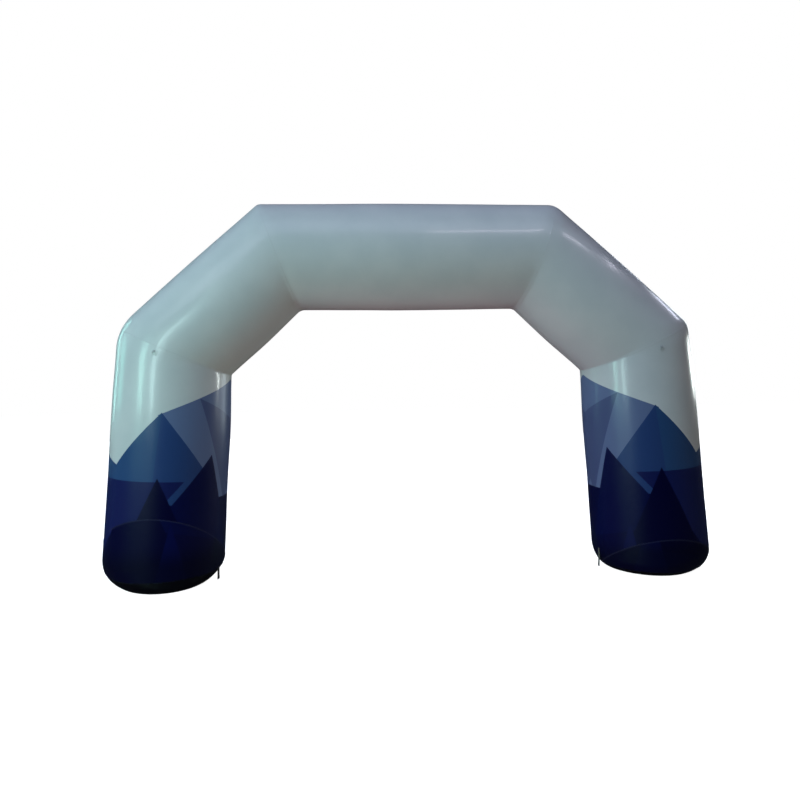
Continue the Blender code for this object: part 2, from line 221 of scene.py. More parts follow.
class Wall:
    """The rule that the cloth of one tube follows, as nodes of a shape tree."""

    def __init__(self, graph, size, angle):
        self.graph, self.size, self.angle = graph, size, angle
        self.cosine, self.sine = graph.maths("COSINE", angle), graph.maths("SINE", angle)
        self.near = self.mitre(size["Near turn"], size["Near outer bend"], size["Near inner bend"])
        self.far = self.mitre(size["Far turn"], size["Far outer bend"], size["Far inner bend"])
        self.run = size["Length"] + self.near["seam"] + self.far["seam"]

    def mitre(self, turn, outer, inner):
        """The bend's radius here, and how far past the corner point the bend starts and the seam lies."""
        outside = ((self.cosine + 1) * 0.5) ** self.size["Bend focus"]
        in_front = self.sine**2 * self.graph.between(FRONT_BEND_NONE, self.cosine, FRONT_BEND_FULL)
        radius = inner + (outer - inner) * outside + self.size["Front bend"] * in_front
        bend = (self.size["Radius"] * self.cosine - radius) * self.graph.maths("TANGENT", turn)
        return {"radius": radius, "bend": bend, "seam": bend + radius * self.graph.maths("SINE", turn)}

    def drawn_in(self, mitre, past):
        """How far the cloth has turned towards the passage, past the start of a bend."""
        past = self.graph.maths("MAXIMUM", past, 0)
        under = self.graph.maths("MAXIMUM", mitre["radius"] ** 2 - past**2, 0)
        return mitre["radius"] - self.graph.maths("SQRT", under)

    def puckers(self, seed, distance):
        """Small gathers that run square off a seam and die away."""
        size = self.size
        around = self.graph.point(self.cosine * size["Radius"], self.sine * size["Radius"], seed)
        gather = self.graph.noise(around, size["Pucker size"]) - 0.5
        fade = self.graph.maths("EXPONENT", -(distance / size["Pucker reach"]))
        return gather * fade * (INNER_PUCKERS - self.cosine) * size["Pucker"]

    def place(self, distance, proud=0.0):
        """Where the cloth is, at a distance along it from the near seam."""
        graph, size = self.graph, self.size
        travel = distance - self.near["seam"]
        to_far = self.run - distance
        out = size["Radius"] * self.cosine
        out -= self.drawn_in(self.near, -travel - self.near["bend"])
        out -= self.drawn_in(self.far, travel - size["Length"] - self.far["bend"])
        share = graph.node("ShaderNodeClamp", {}, {
            "Value": (distance - size["Swell from"]) / (self.run - size["Swell from"])})
        stands = size["Swell"] * graph.maths("SINE", share * math.pi) ** 2
        felled = 1 - graph.between(size["Fell width"], graph.maths("MINIMUM", distance, to_far),
                                   size["Fell width"] * FELL_EDGE)
        stands += felled * size["Fell rise"] + proud
        stands += self.puckers(size["Near seed"], distance) + self.puckers(size["Far seed"], to_far)
        off_back = (1 + self.sine) * size["Radius"]
        stands += (1 - graph.between(0.0, off_back, size["Back fell"])) * size["Fell rise"]
        axis = size["Corner"] + size["Along"] * travel
        wall = axis + size["Outward"] * out
        wall += self.front(size["Radius"] * self.sine)
        stands += (graph.noise(wall, size["Slack size"], 1.0) - 0.5) * size["Slack"]
        wall += (size["Outward"] * self.cosine + self.front(self.sine)) * stands
        return wall - self.rolled_in(wall)

    def front(self, forward):
        return self.graph.point(y=-forward)

    def rolled_in(self, wall):
        """How far a foot's rim rolls in under it towards the flat."""
        graph, size = self.graph, self.size
        rim, inset = size["Rim height"], size["Rim inset"]
        for lift in ("Outer lift", "Inner lift"):
            share = graph.maths("COSINE", self.angle - size[f"{lift} angle"])
            share = graph.maths("MAXIMUM", share, 0) ** size["Lift focus"]
            rim += size[f"{lift} height"] * share
            inset += size[f"{lift} inset"] * share
        height = graph.parts(wall).of("Z")
        under = graph.maths("MAXIMUM", 1 - height / rim, 0)
        inset *= 1 - graph.maths("SQRT", graph.maths("MAXIMUM", 1 - under**2, 0))
        return (size["Level outward"] * self.cosine + self.front(self.sine)) * inset


def close_cloth(graph, grid, own_map, place, weld, finish):
    """Ends the tree of a cloth: a grid with its own map, put in place and welded where it closes."""
    mapped = graph.node("GeometryNodeStoreNamedAttribute", {"data_type": "FLOAT2", "domain": "CORNER"},
                        {"Geometry": grid, "Name": "UVMap", "Value": own_map})
    shaped = graph.node("GeometryNodeSetPosition", {}, {"Geometry": mapped, "Position": place})
    closed = graph.node("GeometryNodeMergeByDistance", {}, {"Geometry": shaped, "Distance": weld})
    close_graph(graph, (closed, finish))


def tube_graph(columns, rows, crowding):
    """One closed tube. Its rows crowd towards the seams, and its cloth's own map is in metres."""
    graph, size = shape_graph("air tube", TUBE_INPUTS)
    grid = graph.node("GeometryNodeMeshGrid", {}, {"Vertices X": columns + 1, "Vertices Y": rows + 1})
    flat = graph.parts(graph.node("GeometryNodeInputPosition"))
    turn = (flat.of("X") + 0.5) * 2 * math.pi + BACK
    row = (flat.of("Y") + 0.5) * rows
    share = graph.node("ShaderNodeClamp", {}, {"Value": (row - 1) / (rows - 2)})
    share -= graph.maths("SINE", share * 2 * math.pi) * (crowding / (2 * math.pi))
    wall = Wall(graph, size, turn)
    distance = share * wall.run
    own_map = graph.point((turn - math.pi / 2) * size["Radius"], distance + size["Cloth from"])
    near_end, far_end = row < 0.5, row > rows - 0.5
    end_point = size["Corner"] + size["Along"] * (size["Length"] * far_end)
    place = graph.node("ShaderNodeMix", {"data_type": "VECTOR"}, {
        "Factor": near_end + far_end, "A": wall.place(distance), "B": end_point})
    close_cloth(graph, grid, own_map, place, TUBE_WELD, size["Finish"])
    return graph


def finish_graph(name):
    """The graph that a new finish is written on."""
    material = bpy.data.materials.new(name)
    material.use_nodes = True
    graph = Graph(material.node_tree)
    graph.material = material
    return graph


def finished(graph, values):
    """The finish whose shader has these values. What is the same all over is set on its own socket."""
    shader = graph.tree.nodes["Principled BSDF"]
    for name, value in values.items():
        if isinstance(value, Value):
            graph.tree.links.new(value.socket, shader.inputs[name])
        else:
            shader.inputs[name].default_value = value
    return graph.material


CLOUDS, WEAVE, RIPPLES, SCUFFS, WORN_PATCHES = 0.40, 0.0012, 0.035, 0.012, 0.30
RELIEF, WEAVE_SHARE = 0.0006, 0.010
DULLNESS, COAT, COAT_LOST_TO_INK, COAT_DULLNESS = 0.24, 0.30, 0.22, 0.12


def skin_colour(graph, place):
    """White cloth, a little cloudy where it has been folded and handled, and how much of it is inked."""
    cloudy = graph.between(0.35, graph.noise(place, CLOUDS, 3.0), 0.70)
    return graph.mixed(cloudy, (0.500, 0.570, 0.575), (0.545, 0.610, 0.610)), 0.0


def coated_cloth(name, colour_of):
    """Woven cloth under a glossy coat, which lets the weave through faintly and ripples a little."""
    graph = finish_graph(name)
    place, cloth = graph.place(), graph.cloth()
    warp, weft = (graph.maths("SINE", cloth.of(way) * (2 * math.pi / WEAVE)) for way in ("X", "Y"))
    relief = graph.node("ShaderNodeBump", {}, {
        "Strength": 1.0, "Distance": RELIEF,
        "Height": graph.noise(place, RIPPLES) + warp * weft * WEAVE_SHARE})
    scuffed = graph.noise(place, SCUFFS, 4.0) * 0.06 + graph.noise(place, WORN_PATCHES, 1.0) * 0.08
    colour, inked = colour_of(graph, place)
    return finished(graph, {
        "Base Color": colour, "Roughness": scuffed + DULLNESS, "Normal": relief,
        "Coat Weight": COAT - inked * COAT_LOST_TO_INK, "Coat Roughness": COAT_DULLNESS})


def half_turn(before, corner, after):
    """Half the angle by which the span turns at a corner."""
    first = Vector((corner[0] - before[0], corner[1] - before[1])).normalized()
    second = Vector((after[0] - corner[0], after[1] - corner[1])).normalized()
    return math.acos(first.dot(second)) / 2


def tube_sizes(near, far, near_mitre, far_mitre, seeds, finish, **others):
    """The sizes of a tube from near to far, a mitre being (turn, outer bend, inner bend). Others are 0."""
    reach = Vector((far[0] - near[0], 0, far[1] - near[1]))
    along = reach.normalized()
    outward = Vector((-along.z, 0, along.x))
    middle = Vector((near[0] + far[0], 0, near[1] + far[1])) / 2
    if outward.dot(middle - Vector((0, 0, KNEE[1] / 2))) < 0:
        outward.negate()
    sizes = {
        "Corner": (near[0], 0, near[1]), "Along": along, "Outward": outward,
        "Level outward": (math.copysign(1, near[0]), 0, 0), "Length": reach.length, "Radius": TUBE_RADIUS,
        "Bend focus": BEND_FOCUS, "Front bend": FRONT_BEND, "Near seed": seeds[0], "Far seed": seeds[1],
        "Swell": SWELL, "Lift focus": 3.0, "Fell width": 0.007, "Fell rise": 0.0006, "Back fell": 0.0004,
        "Pucker": 0.0025, "Pucker size": 0.055, "Pucker reach": 0.060, "Slack": 0.006, "Slack size": 0.42,
        "Finish": finish,
    }
    for end, mitre in (("Near", near_mitre), ("Far", far_mitre)):
        for title, value in zip(("turn", "outer bend", "inner bend"), mitre):
            sizes[f"{end} {title}"] = value
    return {**sizes, **others}


def on_side(side, point):
    return (side * point[0], point[1])


SHARP_FROM = math.radians(40)
skin_sizes = {}


def smooth(mesh):
    """Shades a mesh smooth, its creases left sharp."""
    mesh.shade_smooth()
    mesh.set_sharp_from_angle(angle=SHARP_FROM)


def fitted(piece, node, slot):
    """Puts a piece in the place of its node."""
    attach(piece, "root")
    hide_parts(node)


def skin(node, graph, sizes, slot):
    """An inflated piece of cloth."""
    skin_sizes[node] = sizes
    piece = made(f"{node}_skin", graph, sizes)
    smooth(piece.data)
    fitted(piece, node, slot)
    return piece


knee_turn = half_turn((FOOT_X, 0), KNEE, CROWN)
crown_turn = half_turn(KNEE, CROWN, (-CROWN[0], CROWN[1]))
white = coated_cloth("white coated cloth", skin_colour)
long_tube = tube_graph(columns=360, rows=110, crowding=0.9)
KNEE_SEEDS = {"left": 3.0, "right": 7.0}
CROWN_SEEDS = {"left": 11.0, "right": 17.0}
skin("beam", long_tube, tube_sizes(
    on_side(-1, CROWN), CROWN, (crown_turn, *CORNERS["left"]["crown"]),
    (crown_turn, *CORNERS["right"]["crown"]), tuple(CROWN_SEEDS.values()), white), "white_skin")
for name, corner in CORNERS.items():
    sizes = tube_sizes(
        on_side(corner["side"], KNEE), on_side(corner["side"], CROWN), (knee_turn, *corner["knee"]),
        (crown_turn, *corner["crown"]), (KNEE_SEEDS[name], CROWN_SEEDS[name]), white)
    skin(f"shoulder_{name}", long_tube, sizes, "white_skin")


# ---- Legs --------------------------------------------------------------------------------------------
# The two standing tubes, of the same cloth, printed low down with overlapping slanted fields of blue. The
# print is the same on the front and the back, and the two legs mirror each other.

# The rolled rim of each foot: how high it starts and how far it rolls in, and how much more it does so
# round the facing of each of its two lifts, (facing, height, inset).
FEET = {
    "left": {"base_seam": 0.100, "rim": (0.040, 0.040),
             "Outer lift": (-54, 0.208, 0.130), "Inner lift": (99, 0.131, 0.155)},
    "right": {"base_seam": 0.045, "rim": (0.103, 0.100),
              "Outer lift": (51, 0.109, 0.077), "Inner lift": (-114, 0.087, 0.020)},
}
LEG_SWELL_FROM = 0.650
SEAM_SEED = 23.0
LEAN = (FOOT_X - KNEE[0]) / KNEE[1]

# Fields of the print, three-cornered, from the one behind to the one in front: its corners, in metres round
# the leg from its front towards the passage and metres up, and its colour.
PRINT_FIELDS = [
    ((1.02, 1.800), (0.03, 1.405), (0.95, -0.60), (0.105, 0.155, 0.290)),
    ((1.10, 1.220), (0.36, 1.535), (0.70, 0.64), (0.060, 0.088, 0.195)),
    ((0.06, 1.425), (-0.86, 0.480), (0.70, 0.58), (0.018, 0.050, 0.165)),
    ((0.06, 1.425), (-0.43, 0.922), (0.00, 0.70), (0.019, 0.064, 0.175)),
    ((-0.98, 1.250), (-0.33, 1.000), (-0.98, 0.30), (0.020, 0.060, 0.165)),
    ((-2.20, 0.620), (0.00, -4.000), (2.40, 0.74), (0.001, 0.002, 0.036)),
    ((-1.05, 0.920), (-0.90, -0.400), (0.26, 0.86), (0.006, 0.011, 0.080)),
    ((0.50, 1.060), (-0.02, 0.460), (0.76, 0.26), (0.001, 0.003, 0.046)),
    ((0.05, 0.900), (-0.34, 0.040), (0.42, 0.14), (0.0002, 0.0006, 0.026)),
    ((1.00, 1.300), (0.58, -0.400), (1.40, -0.40), (0.002, 0.005, 0.032)),
    ((-0.68, 0.520), (-0.82, -0.300), (-0.48, -0.30), (0.012, 0.032, 0.105)),
    ((0.34, 0.440), (0.20, -0.200), (0.56, -0.20), (0.001, 0.003, 0.055)),
]
# Painted highlight: the cloth is painted lighter along each foot panel's hem, where its ridge would catch the
# light.
HEM_PAINTED_HIGHLIGHT = 0.35
# Painted shade: the legs' cloth is painted near-black towards the bottom, over the print, where the tube
# curves under to the ground.
FOOT_PAINTED_SHADE, FOOT_PAINTED_SHADE_FULL, FOOT_PAINTED_SHADE_NONE = 0.8, 0.08, 0.30


def print_colour(graph, place):
    """The fields over the white cloth. The back of a leg repeats its front."""
    cloth = graph.cloth()
    half_round = math.pi * TUBE_RADIUS
    across = graph.maths("PINGPONG", cloth.of("X") + half_round / 2, half_round) - half_round / 2
    up = cloth.of("Y")
    colour, inked = skin_colour(graph, place)
    for *corners, ink in PRINT_FIELDS:
        a, b, c = map(Vector, corners)
        if (b - a).cross(c - a) < 0:
            b, c = c, b
        sides = []
        for first, second in ((a, b), (b, c), (c, a)):
            inward = Vector((first.y - second.y, second.x - first.x)).normalized()
            sides.append(across * inward.x + up * inward.y > inward.dot(first))
        inside = sides[0] * sides[1] * sides[2]
        colour = graph.mixed(inside, colour, ink)
        inked = graph.maths("MAXIMUM", inked, inside)
    # Painted shade: darker towards the bottom of the leg, full below the first height of cloth and gone above
    # the second.
    painted_shade_down = 1 - graph.between(FOOT_PAINTED_SHADE_FULL, up, FOOT_PAINTED_SHADE_NONE)
    colour = graph.mixed(painted_shade_down * FOOT_PAINTED_SHADE, colour, (0.0003, 0.0006, 0.0110))
    # A painted highlight along the hem of a foot panel: lighter navy over the print.
    hem = graph.node("ShaderNodeAttribute", {"attribute_name": "hem"}).of("Fac")
    return graph.mixed(hem * HEM_PAINTED_HIGHLIGHT, colour, (0.030, 0.036, 0.080)), inked


def rim_sizes(side, foot):
    """The sizes that shape the rim of one foot."""
    sizes = {"Rim height": foot["rim"][0], "Rim inset": foot["rim"][1]}
    for lift in ("Outer lift", "Inner lift"):
        facing, height, inset = foot[lift]
        sizes[f"{lift} angle"] = math.radians(90 - side * facing)
        sizes[f"{lift} height"], sizes[f"{lift} inset"] = height, inset
    return sizes


def leg_middle(side, height):
    return (side * (FOOT_X - LEAN * height), height)


printed = coated_cloth("printed coated cloth", print_colour)
legs = {}
for name, foot in FEET.items():
    side, corner = CORNERS[name]["side"], CORNERS[name]
    sizes = tube_sizes(
        leg_middle(side, foot["base_seam"]), on_side(side, KNEE), (math.atan(LEAN), 0.0, 0.0),
        (knee_turn, *corner["knee"]), (SEAM_SEED, KNEE_SEEDS[name]), printed,
        **{"Swell from": LEG_SWELL_FROM, "Cloth from": foot["base_seam"]}, **rim_sizes(side, foot))
    legs[name] = skin(f"leg_{name}", long_tube, sizes, "printed_skin")


# ---- Bases -------------------------------------------------------------------------------------------
# The dark closing panel of each foot: a round of heavy black cloth sewn to the printed tube low down,
# rolled in by the air behind it and lying flat on the ground.

DUST, DUST_HEIGHT, WEAR, CREASES = 0.4, 0.060, 0.05, 0.03


def dark_base():
    """Heavier cloth with a dull coat, scuffed and dusty round the rim that stands on the ground."""
    graph = finish_graph("heavy black cloth")
    place = graph.place()
    worn = graph.between(0.50, graph.noise(place, WEAR, 5.0), 0.75)
    dusty = worn * (1 - graph.between(0.005, graph.parts(place).of("Z"), DUST_HEIGHT))
    relief = graph.node("ShaderNodeBump", {}, {
        "Strength": 1.0, "Distance": 0.0008, "Height": graph.noise(place, CREASES, 3.0)})
    return finished(graph, {
        # Near-black: partly the base cloth's own colour, partly painted shade for the dark band round the
        # bottom of each foot.
        "Base Color": graph.mixed(dusty * DUST, (0.0008, 0.0008, 0.0028), (0.014, 0.013, 0.012)),
        "Roughness": worn * 0.15 + 0.40, "Normal": relief})


GROUND_SEED = 29.0
black = dark_base()
short_tube = tube_graph(columns=360, rows=26, crowding=0.3)
for name, foot in FEET.items():
    side = CORNERS[name]["side"]
    sizes = tube_sizes(
        leg_middle(side, 0.0), leg_middle(side, foot["base_seam"]), (math.atan(LEAN), 0.0, 0.0),
        (-math.atan(LEAN), 0.0, 0.0), (GROUND_SEED, SEAM_SEED), black, Swell=0.0, **rim_sizes(side, foot))
    skin(f"base_{name}", short_tube, sizes, "dark_base")


# ---- Foot panels -------------------------------------------------------------------------------------
# A D-shaped panel of the printed cloth over the front of each foot, hemmed and top-stitched along its
# arch and caught in the base seam. Its print was cut from another place, so the fields don't meet.

PANELS = {
    "left": {"low": 0.236, "rise": 0.348},
    "right": {"low": 0.000, "rise": 0.313},
}
PANEL_CLOTH = 0.0015
WALL_GAP = 0.0006
HEM = 0.012
PANEL_WELD, PATCH_WELD = 0.0001, 0.00002

PANEL_INPUTS = {
    "Float": "Panel low, Panel rise, Base seam, Proud, Hem, Hem rise, Print aside, Print up",
    "Int": "Columns, Rows",
}


def panel_wall(graph, size, share):
    """A panel's wall at a share of the way along its arch, and how far up the cloth the arch is there."""
    start = graph.maths("ARCSINE", (size["Base seam"] - size["Panel low"]) / size["Panel rise"])
    wall = Wall(graph, size, start + (math.pi - start * 2) * share)
    return wall, size["Panel low"] + size["Panel rise"] * wall.sine - size["Base seam"]


def panel_graph():
    """The outer face of a foot panel, following the wall of the leg under it."""
    graph, size = shape_graph("foot panel", TUBE_INPUTS, PANEL_INPUTS)
    grid = graph.node("GeometryNodeMeshGrid", {}, {
        "Vertices X": size["Columns"], "Vertices Y": size["Rows"]})
    flat = graph.parts(graph.node("GeometryNodeInputPosition"))
    wall, reach = panel_wall(graph, size, flat.of("X") + 0.5)
    distance = reach * graph.maths("SQRT", flat.of("Y") + 0.5)
    hemmed = 1 - graph.between(size["Hem"] * 0.8, reach - distance, size["Hem"])
    own_map = graph.point((wall.angle - math.pi / 2) * size["Radius"] + size["Print aside"],
                          distance + size["Cloth from"] + size["Print up"])
    # The hem's share is kept on the panel for the printed finish, which paints a highlight along it.
    marked = graph.node("GeometryNodeStoreNamedAttribute", {"data_type": "FLOAT", "domain": "POINT"},
                        {"Geometry": grid, "Name": "hem", "Value": hemmed})
    place = wall.place(distance, size["Proud"] + hemmed * size["Hem rise"])
    close_cloth(graph, marked, own_map, place, PANEL_WELD, size["Finish"])
    return graph


panel_shape = panel_graph()
panels, panel_sizes = {}, {}
for name, panel in PANELS.items():
    sizes = {**skin_sizes[f"leg_{name}"], "Panel low": panel["low"], "Panel rise": panel["rise"],
             "Base seam": FEET[name]["base_seam"], "Proud": WALL_GAP + PANEL_CLOTH, "Hem": HEM,
             "Hem rise": 0.0005, "Print aside": 0.17, "Print up": -0.10, "Columns": 260, "Rows": 60}
    panel_sizes[name] = sizes
    piece = made(f"foot_panel_{name}_cloth", panel_shape, sizes)
    backing = piece.modifiers.new("backing", "SOLIDIFY")
    backing.thickness, backing.offset = PANEL_CLOTH, -1
    settle(piece, backing)
    smooth(piece.data)
    fitted(piece, f"foot_panel_{name}", "printed_skin")
    panels[name] = piece


# ---- Stitching ---------------------------------------------------------------------------------------
# Every felled seam has a row of lockstitch on each side of it, in white thread, and in blue at the feet.
# The arch of each foot panel has one in blue. Each stitch is a short length that dives into the cloth.

THREAD_INPUTS = {
    "Float": "Stitch pitch, Stitch length, Thread width, Seam to row", "Int": "Row points",
    "Material": "Thread",
}
SEAM_INPUTS = {"Float": "Near row, Far row, Back row", "Material": "Near thread"}
ROW_OFF_BASE = 0.002
DIRT = 0.02


def stitches(graph, path, size):
    """Thread along a path of edges: one spindle of thread for each stitch."""
    line = graph.node("GeometryNodeMeshToCurve", {}, {"Mesh": path})
    points = graph.node("GeometryNodeCurveToPoints", {"mode": "LENGTH"}, {
        "Curve": line, "Length": size["Stitch pitch"]})
    turned = graph.node("FunctionNodeAlignRotationToVector", {"axis": "Z"}, {"Vector": points.of("Tangent")})
    ball = graph.node("GeometryNodeMeshUVSphere", {}, {"Segments": 5, "Rings": 4, "Radius": 0.5})
    shape = graph.point(size["Thread width"], size["Thread width"], size["Stitch length"])
    spindle = graph.node("GeometryNodeTransform", {}, {"Geometry": ball, "Scale": shape})
    return graph.node("GeometryNodeInstanceOnPoints", {}, {
        "Points": points, "Instance": spindle, "Rotation": turned})


def seam_graph():
    """The stitches of one tube: a row inside each end, and one on each side of the seam down its back."""
    graph, size = shape_graph("seam stitches", TUBE_INPUTS, THREAD_INPUTS, SEAM_INPUTS)
    index = graph.node("GeometryNodeInputIndex")
    rows = []
    for row in ("Near row", "Far row"):
        path = graph.node("GeometryNodeMeshCircle", {}, {"Vertices": size["Row points"]})
        wall = Wall(graph, size, index * (2 * math.pi) / size["Row points"])
        distance = size["Seam to row"] if row == "Near row" else wall.run - size["Seam to row"]
        rows.append((row, path, wall.place(distance)))
    for aside in (-1, 1):
        path = graph.node("GeometryNodeMeshLine", {}, {"Count": size["Row points"]})
        wall = Wall(graph, size, size["Seam to row"] / size["Radius"] * aside + BACK)
        rows.append(("Back row", path, wall.place(index * wall.run / (size["Row points"] - 1))))
    sewn_rows = []
    for row, path, place in rows:
        laid = graph.node("GeometryNodeSetPosition", {}, {"Geometry": path, "Position": place})
        kept = graph.node("GeometryNodeSwitch", {"input_type": "GEOMETRY"}, {
            "Switch": size[row] > 0.5, "True": laid})
        colour = size["Near thread"] if row == "Near row" else size["Thread"]
        sewn_rows.append((stitches(graph, kept, size), colour))
    close_graph(graph, *sewn_rows)
    return graph


def arch_graph():
    """The stitches along the arch of a foot panel."""
    graph, size = shape_graph("arch stitches", TUBE_INPUTS, PANEL_INPUTS, THREAD_INPUTS)
    line = graph.node("GeometryNodeMeshLine", {}, {"Count": size["Row points"]})
    share = graph.node("GeometryNodeInputIndex") / (size["Row points"] - 1)
    wall, reach = panel_wall(graph, size, share)
    distance = graph.maths("MAXIMUM", reach - size["Seam to row"], ROW_OFF_BASE)
    place = wall.place(distance, size["Proud"] + size["Hem rise"])
    row = graph.node("GeometryNodeSetPosition", {}, {"Geometry": line, "Position": place})
    close_graph(graph, (stitches(graph, row, size), size["Thread"]))
    return graph


def thread(name, colour):
    """Spun polyester thread, darker where it has taken up dirt."""
    graph = finish_graph(name)
    shade = graph.mixed(graph.noise(graph.place(), DIRT), colour, tuple(0.7 * part for part in colour))
    return finished(graph, {"Base Color": shade, "Roughness": 0.6})


def sewn(name, graph, sizes, path=None):
    """A piece of thread."""
    piece = made(name, graph, sizes, path)
    piece.data.shade_smooth()
    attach(piece, "root")
    return piece


white_thread = thread("white thread", (0.55, 0.60, 0.60))
blue_thread = thread("blue thread", (0.05, 0.06, 0.14))
THREADS = {
    "Stitch pitch": 0.0055, "Stitch length": 0.0046, "Thread width": 0.0010, "Seam to row": 0.0045,
    "Row points": 400,
}
seam_shape = seam_graph()
for name, sizes in skin_sizes.items():
    low, stands = name.startswith("base"), name.startswith("leg")
    sewn(f"{name}_stitches", seam_shape, {
        **sizes, **THREADS, "Thread": blue_thread if low else white_thread,
        "Near thread": blue_thread if stands else white_thread, "Near row": 0.0 if low else 1.0,
        "Far row": 1.0, "Back row": 0.0 if low else 1.0})
arch_shape = arch_graph()
for name, sizes in panel_sizes.items():
    sewn(f"foot_panel_{name}_stitches", arch_shape, {**sizes, **THREADS, "Thread": blue_thread})


# ---- Tether points -----------------------------------------------------------------------------------
# High on the front of each leg, a welded round patch with a loop of white webbing bar-tacked to it, and a
# steel D-ring hanging in the loop, for a guy line.

TETHERS = {"left": {"facing": -3.6, "height": 1.919}, "right": {"facing": 5.1, "height": 1.910}}
PATCH_RADIUS, PATCH_CLOTH, PATCH_EDGE = 0.030, 0.0012, 0.4
STRAP_WIDTH, STRAP_CLOTH, STRAP_LEAVES_RING, STRAP_MEETS, STRAP_RISE = 0.022, 0.0015, 0.005, 0.011, 0.016
WEBBING_EDGE, RIB, WEFT, STRAP_STEPS = 0.0006, 0.0022, 0.0016, 6
RING_WIRE, RING_INNER_WIDTH, RING_SIDE, RING_CORNER = 0.004, 0.025, 0.003, 0.003
BAR_ABOVE_PATCH_CENTRE, RUBS = 0.004, 0.004
TACK_PITCH, TACK_HEIGHT, TACK_THREAD, TACK_INSET = 0.0006, 0.0025, 0.0007, 0.0015
GAP = 0.0003


def facing_way(facing):
    turn = math.radians(facing)
    return Vector((math.sin(turn), -math.cos(turn), 0))


def placing(origin, away):
    """A function that turns (aside, up, proud) into a point, on a cloth that faces away."""
    level = Vector((-away.y, away.x, 0))
    return lambda aside, up, proud: origin + level * aside + Vector((0, 0, up)) + away * proud


def cloth_of(piece):
    return BVHTree.FromObject(piece, bpy.context.evaluated_depsgraph_get())


def on_cloth(cloth, side, facing, height, proud=0.0):
    """The point of a leg's cloth that faces that way at that height, or one proud of it."""
    away = facing_way(facing)
    middle = Vector((side * (FOOT_X - LEAN * height), 0, height))
    return cloth.ray_cast(middle + away, -away)[0] + away * proud


def cloth_piece(name, points, map_points, faces, finish):
    """A piece from points and faces, its faces pointing outwards and its map in metres."""
    mesh = bpy.data.meshes.new(name)
    mesh.from_pydata(points, [], faces)
    layer = mesh.uv_layers.new(name="UVMap")
    for loop in mesh.loops:
        layer.data[loop.index].uv = map_points[loop.vertex_index]
    work = bmesh.new()
    work.from_mesh(mesh)
    bmesh.ops.remove_doubles(work, verts=work.verts, dist=PATCH_WELD)
    bmesh.ops.recalc_face_normals(work, faces=work.faces)
    work.to_mesh(mesh)
    work.free()
    smooth(mesh)
    mesh.materials.append(finish)
    piece = bpy.data.objects.new(name, mesh)
    bpy.context.collection.objects.link(piece)
    return piece


def between_rings(first, second, count):
    """The faces from one ring of that many points to another."""
    return [(first * count + j, first * count + k, second * count + k, second * count + j)
            for j, k in zip(range(count), [*range(1, count), 0])]


def round_patch(name, cloth, side, tether):
    """A disc of cloth laid on the leg, its edge sealed down."""
    rings, columns = 8, 64
    shares = [(i / rings) ** 0.8 for i in range(rings + 1)]
    points, map_points = [], []
    for layer in ("top", "under"):
        for i, share in enumerate(shares):
            proud = WALL_GAP
            if layer == "top":
                proud += PATCH_CLOTH * (PATCH_EDGE if i == rings else 1.0)
            for column in range(columns):
                turn = 2 * math.pi * column / columns
                aside, up = PATCH_RADIUS * share * math.cos(turn), PATCH_RADIUS * share * math.sin(turn)
                facing = tether["facing"] + math.degrees(aside / TUBE_RADIUS)
                points.append(on_cloth(cloth, side, facing, tether["height"] + up, proud))
                map_points.append((aside, up))
    joined = [(i, i + 1) for i in range(2 * rings + 1) if i != rings] + [(rings, 2 * rings + 1)]
    faces = [face for a, b in joined for face in between_rings(a, b, columns)]
    return cloth_piece(name, points, map_points, faces, white)


def smoothed(points, steps):
    """A smooth line through points, with that many steps from each to the next."""
    padded = [points[0]] + points + [points[-1]]
    line = []
    for a, b, c, d in zip(padded, padded[1:], padded[2:], padded[3:]):
        for step in range(steps):
            t = step / steps
            line.append(tuple(0.5 * (2 * q + (r - p) * t + (2 * p - 5 * q + 4 * r - s) * t**2
                                     + (3 * q - p - 3 * r + s) * t**3)
                              for p, q, r, s in zip(a, b, c, d)))
    return line + [points[-1]]


def webbing(name, line, width, place, finish):
    """Woven tape along a line of (proud, up, thickness), place turning (aside, up, proud) into a point."""
    points, map_points, run = [], [], 0.0
    for i, (proud, up, thick) in enumerate(line):
        before, after = line[max(i - 1, 0)], line[min(i + 1, len(line) - 1)]
        along = Vector((after[0] - before[0], after[1] - before[1])).normalized()
        if i:
            run += math.dist(line[i][:2], line[i - 1][:2])
        half, edge = width / 2, min(thick / 2, WEBBING_EDGE)
        section = []
        for quarter in range(4):
            middle = math.radians(90 * quarter + 45)
            aside = math.copysign(half - edge, math.cos(middle))
            off = math.copysign(thick / 2 - edge, math.sin(middle))
            for turn in (middle - math.radians(45), middle, middle + math.radians(45)):
                section.append((aside + edge * math.cos(turn), off + edge * math.sin(turn)))
            if quarter % 2 == 0:
                face_off = math.copysign(thick / 2, off)
                section += [(math.copysign(half, aside) * share, face_off) for share in (0.5, 0.0, -0.5)]
        for aside, off in section:
            points.append(place(aside, up - along.x * off, proud + along.y * off))
            map_points.append((aside, run))
    count, last = len(section), len(line) - 1
    faces = [face for i in range(last) for face in between_rings(i, i + 1, count)]
    faces += [tuple(range(count)), tuple(range(last * count, (last + 1) * count))]
    return cloth_piece(name, points, map_points, faces, finish), run


def webbing_finish(name, dark, light):
    """Woven tape: ribs along it, crossed by its weft, with a painted highlight on the threads that stand up
    and painted shade between them.
    """
    graph = finish_graph(name)
    cloth = graph.cloth()
    warp = graph.maths("SINE", cloth.of("X") * (2 * math.pi / RIB))
    weft = graph.maths("SINE", cloth.of("Y") * (2 * math.pi / WEFT) + warp * 1.2)
    weave = weft * 0.35 + graph.maths("ABSOLUTE", warp) * 0.65
    relief = graph.node("ShaderNodeBump", {}, {"Strength": 0.6, "Distance": 0.0004, "Height": weave})
    return finished(graph, {
        "Base Color": graph.mixed(graph.between(0.0, weave, 1.0), dark, light), "Roughness": 0.75,
        "Normal": relief})


